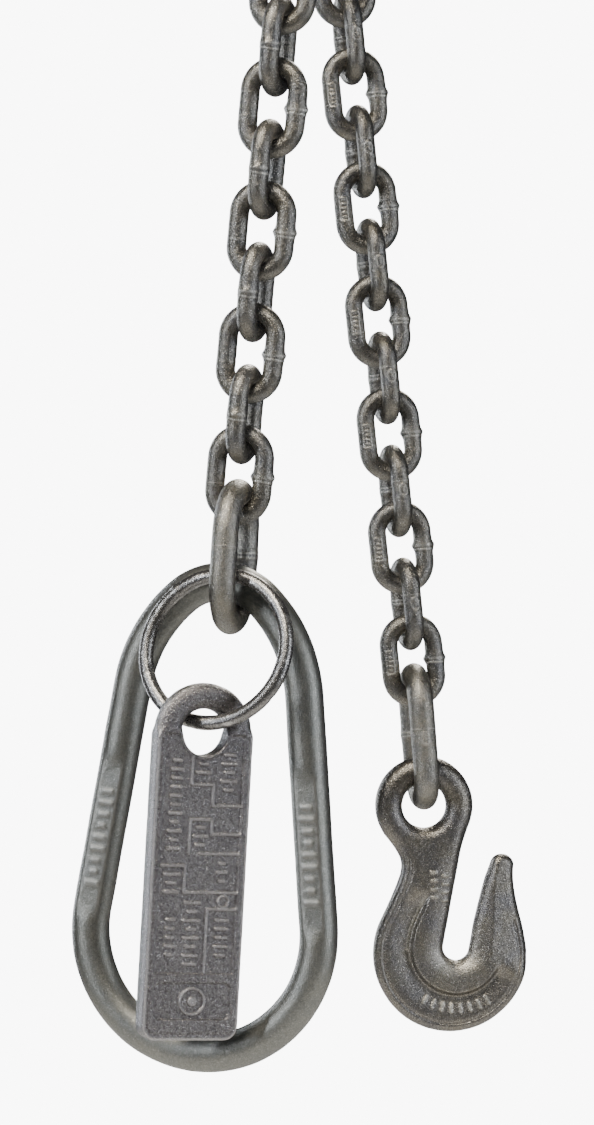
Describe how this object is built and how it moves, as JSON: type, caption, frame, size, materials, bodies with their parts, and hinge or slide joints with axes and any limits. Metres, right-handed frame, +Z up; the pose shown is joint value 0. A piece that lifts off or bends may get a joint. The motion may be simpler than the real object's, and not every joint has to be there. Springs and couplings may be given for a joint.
{
  "type": "chain sling",
  "caption": "Lifting chain sling hung over a bar: a pear-shaped master link with a ring and identification tag at one end, an eye grab hook at the other.",
  "frame": {"origin": "on the axis of the round bar that the chain is hung over, at the middle of the bend", "axes": "+Z up, along which both runs of the chain hang down; +Y from the run with the master link to the run with the hook; +X to the right when the tag faces you"},
  "size_m": [0.171, 0.1335, 0.4684],
  "materials": {
    "chain_steel": "dark self-coloured forged steel, satin, with lighter worn edges",
    "fitting_steel": "dark forged steel, pitted",
    "master_steel": "dark grey forged steel, satin and smooth",
    "ring_steel": "dark drawn wire, shiny, with chipped bright spots",
    "tag_iron": "grey sand-cast iron, matt and grainy",
    "hook_steel": "dark forged steel, satin, with a trimmed rim"
  },
  "bodies": {
    "chain_link_13": {"chain_link_13": "chain_steel"},
    "chain_link_12": {"chain_link_12": "chain_steel"},
    "chain_link_11": {"chain_link_11": "chain_steel"},
    "chain_link_10": {"chain_link_10": "chain_steel"},
    "chain_link_09": {"chain_link_09": "chain_steel"},
    "chain_link_08": {"chain_link_08": "chain_steel"},
    "chain_link_07": {"chain_link_07": "chain_steel"},
    "chain_link_06": {"chain_link_06": "chain_steel"},
    "chain_link_05": {"chain_link_05": "chain_steel"},
    "chain_link_04": {"chain_link_04": "chain_steel"},
    "chain_link_03": {"chain_link_03": "chain_steel"},
    "chain_link_02": {"chain_link_02": "chain_steel"},
    "chain_link_01": {"chain_link_01": "chain_steel"},
    "chain_link_14": {"chain_link_14": "chain_steel"},
    "chain_link_15": {"chain_link_15": "chain_steel"},
    "chain_link_16": {"chain_link_16": "chain_steel"},
    "chain_link_17": {"chain_link_17": "chain_steel"},
    "chain_link_18": {"chain_link_18": "chain_steel"},
    "chain_link_19": {"chain_link_19": "chain_steel"},
    "chain_link_20": {"chain_link_20": "chain_steel"},
    "chain_link_21": {"chain_link_21": "chain_steel"},
    "chain_link_22": {"chain_link_22": "chain_steel"},
    "chain_link_23": {"chain_link_23": "chain_steel"},
    "chain_link_24": {"chain_link_24": "chain_steel"},
    "chain_link_25": {"chain_link_25": "chain_steel"},
    "chain_link_26": {"chain_link_26": "chain_steel"},
    "chain_link_27": {"chain_link_27": "chain_steel"},
    "chain_link_28": {"chain_link_28": "chain_steel"},
    "chain_link_29": {"chain_link_29": "chain_steel"},
    "coupling_link": {"coupling_link": "fitting_steel"},
    "master_link": {"master_link": "master_steel"},
    "tag_ring": {"tag_ring": "ring_steel"},
    "id_tag": {"id_tag": "tag_iron"},
    "end_link": {"end_link": "fitting_steel"},
    "grab_hook": {"grab_hook": "hook_steel"}
  },
  "joints": [
    {"name": "chain_link_12_swing", "type": "hinge", "parent": "chain_link_13", "child": "chain_link_12", "pos_m": [-0.00467, -0.02276, 0.04529], "axis": [-0.9417, 0.2379, -0.2379], "range_deg": [0, 12]},
    {"name": "chain_link_11_swing", "type": "hinge", "parent": "chain_link_12", "child": "chain_link_11", "pos_m": [-0.00728, -0.03428, 0.03686], "axis": [-0.9373, 0.3387, -0.0819], "range_deg": [0, 12]},
    {"name": "chain_link_10_swing", "type": "hinge", "parent": "chain_link_11", "child": "chain_link_10", "pos_m": [-0.01021, -0.04855, 0.01138], "axis": [-0.9373, 0.3387, -0.0819], "range_deg": [0, 12]},
    {"name": "chain_link_09_swing", "type": "hinge", "parent": "chain_link_10", "child": "chain_link_09", "pos_m": [-0.01016, -0.04985, -0.00307], "axis": [0.9618, -0.2522, -0.1066], "range_deg": [-40, 12]},
    {"name": "chain_link_08_swing", "type": "hinge", "parent": "chain_link_09", "child": "chain_link_08", "pos_m": [-0.01283, -0.04771, -0.03222], "axis": [-0.9618, 0.2522, 0.1066], "range_deg": [-12, 40]},
    {"name": "chain_link_07_swing", "type": "hinge", "parent": "chain_link_08", "child": "chain_link_07", "pos_m": [-0.01414, -0.04666, -0.04658], "axis": [0.9618, -0.2522, -0.1066], "range_deg": [-40, 12]},
    {"name": "chain_link_06_swing", "type": "hinge", "parent": "chain_link_07", "child": "chain_link_06", "pos_m": [-0.01681, -0.04452, -0.07573], "axis": [-0.9618, 0.2522, 0.1066], "range_deg": [-12, 40]},
    {"name": "chain_link_05_swing", "type": "hinge", "parent": "chain_link_06", "child": "chain_link_05", "pos_m": [-0.01812, -0.04346, -0.09008], "axis": [0.9618, -0.2522, -0.1066], "range_deg": [-40, 12]},
    {"name": "chain_link_04_swing", "type": "hinge", "parent": "chain_link_05", "child": "chain_link_04", "pos_m": [-0.02079, -0.04132, -0.11923], "axis": [-0.9618, 0.2522, 0.1066], "range_deg": [-12, 40]},
    {"name": "chain_link_03_swing", "type": "hinge", "parent": "chain_link_04", "child": "chain_link_03", "pos_m": [-0.02211, -0.04027, -0.13358], "axis": [0.9618, -0.2522, -0.1066], "range_deg": [-40, 12]},
    {"name": "chain_link_02_swing", "type": "hinge", "parent": "chain_link_03", "child": "chain_link_02", "pos_m": [-0.02477, -0.03813, -0.16273], "axis": [-0.9618, 0.2522, 0.1066], "range_deg": [-12, 40]},
    {"name": "chain_link_01_swing", "type": "hinge", "parent": "chain_link_02", "child": "chain_link_01", "pos_m": [-0.02677, -0.03653, -0.18448], "axis": [0.3083, 0.9504, 0.0416], "range_deg": [-45, 45]},
    {"name": "chain_link_14_swing", "type": "hinge", "parent": "chain_link_13", "child": "chain_link_14", "pos_m": [0.00113, 0.00552, 0.05059], "axis": [0.9417, -0.2379, 0.2379], "range_deg": [0, 12]},
    {"name": "chain_link_15_swing", "type": "hinge", "parent": "chain_link_14", "child": "chain_link_15", "pos_m": [0.00419, 0.01929, 0.047], "axis": [0.9695, 0.0067, 0.2451], "range_deg": [0, 12]},
    {"name": "chain_link_16_swing", "type": "hinge", "parent": "chain_link_15", "child": "chain_link_16", "pos_m": [0.00875, 0.0415, 0.02836], "axis": [0.9695, 0.0067, 0.2451], "range_deg": [0, 12]},
    {"name": "chain_link_17_swing", "type": "hinge", "parent": "chain_link_16", "child": "chain_link_17", "pos_m": [0.00946, 0.04759, 0.01517], "axis": [-0.9827, -0.1539, -0.1033], "range_deg": [-40, 12]},
    {"name": "chain_link_18_swing", "type": "hinge", "parent": "chain_link_17", "child": "chain_link_18", "pos_m": [0.01245, 0.04805, -0.01402], "axis": [0.9827, 0.1539, 0.1033], "range_deg": [-12, 40]},
    {"name": "chain_link_19_swing", "type": "hinge", "parent": "chain_link_18", "child": "chain_link_19", "pos_m": [0.01393, 0.04827, -0.02839], "axis": [-0.9827, -0.1539, -0.1033], "range_deg": [-40, 12]},
    {"name": "chain_link_20_swing", "type": "hinge", "parent": "chain_link_19", "child": "chain_link_20", "pos_m": [0.01692, 0.04873, -0.05758], "axis": [0.9827, 0.1539, 0.1033], "range_deg": [-12, 40]},
    {"name": "chain_link_21_swing", "type": "hinge", "parent": "chain_link_20", "child": "chain_link_21", "pos_m": [0.0184, 0.04896, -0.07196], "axis": [-0.9827, -0.1539, -0.1033], "range_deg": [-40, 12]},
    {"name": "chain_link_22_swing", "type": "hinge", "parent": "chain_link_21", "child": "chain_link_22", "pos_m": [0.0214, 0.04942, -0.10115], "axis": [0.9827, 0.1539, 0.1033], "range_deg": [-12, 40]},
    {"name": "chain_link_23_swing", "type": "hinge", "parent": "chain_link_22", "child": "chain_link_23", "pos_m": [0.02287, 0.04964, -0.11552], "axis": [-0.9827, -0.1539, -0.1033], "range_deg": [-40, 12]},
    {"name": "chain_link_24_swing", "type": "hinge", "parent": "chain_link_23", "child": "chain_link_24", "pos_m": [0.02587, 0.0501, -0.14472], "axis": [0.9827, 0.1539, 0.1033], "range_deg": [-12, 40]},
    {"name": "chain_link_25_swing", "type": "hinge", "parent": "chain_link_24", "child": "chain_link_25", "pos_m": [0.0281, 0.05044, -0.1665], "axis": [-0.2397, 0.9708, -0.0094], "range_deg": [-45, 45]},
    {"name": "chain_link_26_swing", "type": "hinge", "parent": "chain_link_25", "child": "chain_link_26", "pos_m": [0.03034, 0.05079, -0.18828], "axis": [-0.9827, -0.1539, -0.1033], "range_deg": [-40, 12]},
    {"name": "chain_link_27_swing", "type": "hinge", "parent": "chain_link_26", "child": "chain_link_27", "pos_m": [0.03257, 0.05113, -0.21007], "axis": [0.2397, -0.9708, 0.0094], "range_deg": [-45, 45]},
    {"name": "chain_link_28_swing", "type": "hinge", "parent": "chain_link_27", "child": "chain_link_28", "pos_m": [0.03481, 0.05147, -0.23185], "axis": [0.9827, 0.1539, 0.1033], "range_deg": [-12, 40]},
    {"name": "chain_link_29_swing", "type": "hinge", "parent": "chain_link_28", "child": "chain_link_29", "pos_m": [0.03705, 0.05181, -0.25363], "axis": [-0.2397, 0.9708, -0.0094], "range_deg": [-45, 45]},
    {"name": "coupling_link_swing", "type": "hinge", "parent": "chain_link_01", "child": "coupling_link", "pos_m": [-0.02876, -0.03493, -0.20623], "axis": [-0.9618, 0.2522, 0.1066], "range_deg": [-20, 60]},
    {"name": "master_link_swing", "type": "hinge", "parent": "coupling_link", "child": "master_link", "pos_m": [-0.03077, -0.03502, -0.24444], "axis": [0.2241, 0.9745, -0.0141], "range_deg": [-35, 30]},
    {"name": "tag_ring_swing", "type": "hinge", "parent": "coupling_link", "child": "tag_ring", "pos_m": [-0.03146, -0.04262, -0.22756], "axis": [-0.9136, 0.4035, 0.0503], "range_deg": [0, 75]},
    {"name": "id_tag_swing", "type": "hinge", "parent": "tag_ring", "child": "id_tag", "pos_m": [-0.03992, -0.05527, -0.27969], "axis": [-0.9136, 0.4035, 0.0503], "range_deg": [-6, 30]},
    {"name": "end_link_swing", "type": "hinge", "parent": "chain_link_29", "child": "end_link", "pos_m": [0.03928, 0.05215, -0.27541], "axis": [0.9827, 0.1539, 0.1033], "range_deg": [-20, 60]},
    {"name": "grab_hook_swing", "type": "hinge", "parent": "end_link", "child": "grab_hook", "pos_m": [0.04208, 0.05213, -0.31392], "axis": [-0.1211, 0.9926, -0.0095], "range_deg": [-45, 45]}
  ]
}
